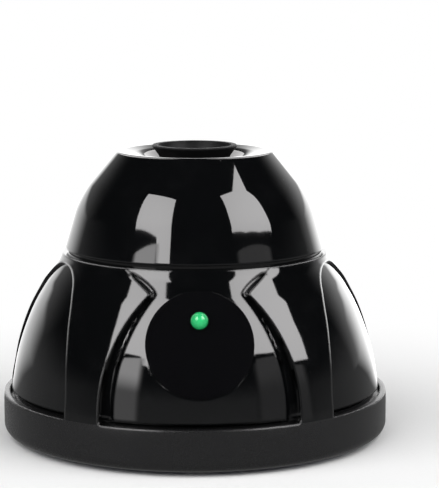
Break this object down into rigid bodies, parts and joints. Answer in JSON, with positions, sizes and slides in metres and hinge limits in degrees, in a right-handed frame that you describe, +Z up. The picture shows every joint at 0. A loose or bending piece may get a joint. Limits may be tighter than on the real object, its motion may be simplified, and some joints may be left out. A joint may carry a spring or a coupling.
{
  "type": "vortex mixer",
  "caption": "Bell-shaped mini vortex mixer: gloss housing with arched panels, round badge plate with lamp, sprung motor carriage, eccentric rubber cup and suction foot.",
  "frame": {"origin": "on the housing's axis, on the surface that the suction foot stands on", "axes": "+Z up along the housing's axis, front with the badge and lamp towards -Y, inlet towards +Y"},
  "size_m": [0.118, 0.118, 0.0888],
  "materials": {
    "housing_gloss": "high-gloss black ABS",
    "dome_gloss": "high-gloss black ABS",
    "base_grey": "fine-textured slate grey",
    "foot_rubber": "soft black rubber",
    "cup_rubber": "soft matte black rubber",
    "badge_black": "matte black plate",
    "lamp_green": "translucent green lens",
    "socket_black": "black socket",
    "nut_nickel": "nickel plated",
    "screw_nickel": "nickel plated",
    "shoulder_steel": "turned steel",
    "spring_steel": "spring wire",
    "plate_steel": "zinc plated sheet",
    "bushing_nylon": "natural nylon",
    "can_steel": "zinc plated steel",
    "cap_nylon": "white nylon",
    "magnet_ferrite": "ferrite",
    "brush_copper": "copper and carbon",
    "terminal_brass": "tinned brass",
    "shaft_steel": "ground steel",
    "core_steel": "stacked steel sheet",
    "winding_copper": "enamelled copper",
    "hub_brass": "turned brass",
    "black_screw": "black oxide",
    "weight_steel": "zinc plated steel",
    "bearing_chrome": "polished bearing steel",
    "carrier_black": "black acetal",
    "switch_black": "black phenolic",
    "plunger_red": "red plunger",
    "board_green": "green board",
    "component_dark": "moulded parts"
  },
  "bodies": {
    "housing": {"lower_housing": "housing_gloss", "upper_dome": "dome_gloss", "bottom_plate": "base_grey", "bottom_screws": "screw_nickel", "suction_foot": "foot_rubber", "badge_disc": "badge_black", "lamp": "lamp_green", "dc_jack": "socket_black", "dc_jack_nut": "nut_nickel", "dome_screws": "screw_nickel", "shoulder_screws": "shoulder_steel", "spring_washers": "shoulder_steel", "press_springs": "spring_steel", "switch_body": "switch_black", "switch_terminals": "terminal_brass", "switch_screws": "screw_nickel", "circuit_board": "board_green", "board_screws": "screw_nickel", "board_components": "component_dark"},
    "carriage": {"motor_plate": "plate_steel", "plate_bushings": "bushing_nylon", "motor_can": "can_steel", "motor_end_cap": "cap_nylon", "motor_magnets": "magnet_ferrite", "motor_brushes": "brush_copper", "motor_terminals": "terminal_brass", "motor_screws": "screw_nickel"},
    "rotor": {"motor_shaft": "shaft_steel", "armature_core": "core_steel", "armature_windings": "winding_copper", "commutator": "winding_copper", "eccentric_hub": "hub_brass", "hub_set_screw": "black_screw", "counterweight": "weight_steel", "counterweight_screw": "black_screw", "eccentric_pin": "shaft_steel", "bearing_inner_race": "bearing_chrome"},
    "cup": {"bearing_balls": "bearing_chrome", "bearing_outer_race": "bearing_chrome", "cup_carrier": "carrier_black", "rubber_cup": "cup_rubber"},
    "plunger": {"switch_plunger": "plunger_red"}
  },
  "joints": [
    {"name": "press_slide", "type": "slide", "parent": "housing", "child": "carriage", "axis": [0, 0, -1], "range_m": [0, 0.0015], "stiffness_N_per_m": 1500, "springref_m": -0.003, "deforming": ["press_springs"]},
    {"name": "motor_spin", "type": "hinge", "parent": "carriage", "child": "rotor", "pos_m": [0, 0, 0.06], "axis": [0, 0, 1], "continuous": true},
    {"name": "cup_turn", "type": "hinge", "parent": "rotor", "child": "cup", "pos_m": [0, 0.002, 0.073], "axis": [0, 0, 1], "continuous": true},
    {"name": "plunger_slide", "type": "slide", "parent": "housing", "child": "plunger", "axis": [0, 0, -1], "range_m": [0, 0.0015]}
  ],
  "couplings": [
    {"joint": "cup_turn", "follows": "motor_spin", "ratio": -1},
    {"joint": "plunger_slide", "follows": "press_slide", "ratio": 1}
  ]
}
